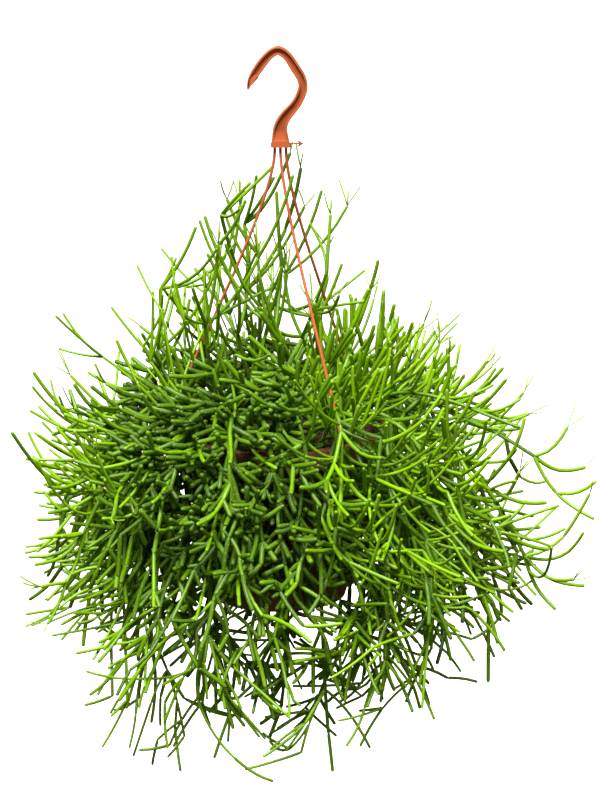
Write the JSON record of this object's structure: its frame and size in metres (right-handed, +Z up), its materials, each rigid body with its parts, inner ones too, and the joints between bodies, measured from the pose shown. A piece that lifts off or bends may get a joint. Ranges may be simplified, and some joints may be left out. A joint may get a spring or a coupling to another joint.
{
  "type": "potted rhipsalis in a hanging pot",
  "caption": "Dense bush of jointed, leafless pencil-thin cactus stems trailing from a round plastic hanging pot with a saucer, three strands and a hook.",
  "frame": {"origin": "highest point inside the hook's crown, where the hook bears on its rail; the pot hangs straight below it", "axes": "+Z up along the hanging pot's axis, +X to the side where the bush is wider, away from the hook's open mouth, -Y to the front"},
  "size_m": [0.4936, 0.426, 0.6217],
  "materials": {
    "pot_plastic": "moulded terracotta-brown plastic, matte",
    "hanger_plastic": "moulded light terracotta plastic, slight sheen",
    "potting_mix": "coarse dark peat and bark mix",
    "old_stem": "waxy dark green living stem skin",
    "young_stem": "waxy yellow-green living stem skin"
  },
  "bodies": {
    "root": {"hanger_hook": "hanger_plastic", "pot": "pot_plastic", "potting_mix": "potting_mix", "saucer": "pot_plastic", "stem_crown_01": "old_stem", "stem_crown_02": "old_stem", "stem_crown_03": "old_stem", "stem_crown_04": "old_stem", "stem_crown_05": "old_stem", "stem_crown_06": "old_stem", "stem_draping_01": "old_stem", "stem_draping_02": "old_stem", "stem_draping_03": "old_stem", "stem_draping_04": "old_stem", "stem_draping_05": "old_stem", "stem_draping_06": "old_stem", "stem_draping_07": "old_stem", "stem_draping_08": "old_stem", "stem_draping_09": "old_stem", "stem_reaching_01": "young_stem", "stem_reaching_02": "young_stem", "stem_reaching_03": "young_stem", "stem_reaching_04": "young_stem", "stem_reaching_05": "young_stem", "stem_reaching_06": "young_stem", "stem_spreading_01": "young_stem", "stem_spreading_02": "young_stem", "stem_spreading_03": "young_stem", "stem_spreading_04": "young_stem", "stem_spreading_05": "young_stem", "stem_spreading_06": "young_stem", "stem_spreading_07": "young_stem", "stem_spreading_08": "young_stem", "stem_spreading_09": "young_stem", "stem_spreading_10": "young_stem", "stem_spreading_11": "young_stem", "stem_spreading_12": "young_stem", "stem_spreading_13": "young_stem", "stem_trailing_01": "old_stem", "stem_trailing_02": "old_stem", "stem_trailing_03": "old_stem", "stem_trailing_04": "old_stem", "stem_trailing_05": "old_stem", "stem_trailing_06": "old_stem", "stem_trailing_07": "old_stem", "stem_trailing_08": "old_stem", "stem_trailing_09": "old_stem", "stem_trailing_10": "old_stem", "stem_trailing_11": "old_stem", "stem_trailing_12": "old_stem", "stem_upright_01": "young_stem", "stem_upright_02": "young_stem", "stem_upright_03": "young_stem", "stem_upright_04": "young_stem", "stem_upright_05": "young_stem", "stem_upright_06": "young_stem", "stem_upright_07": "young_stem", "strand_back": "hanger_plastic", "strand_front": "hanger_plastic", "strand_left": "hanger_plastic"}
  },
  "joints": []
}
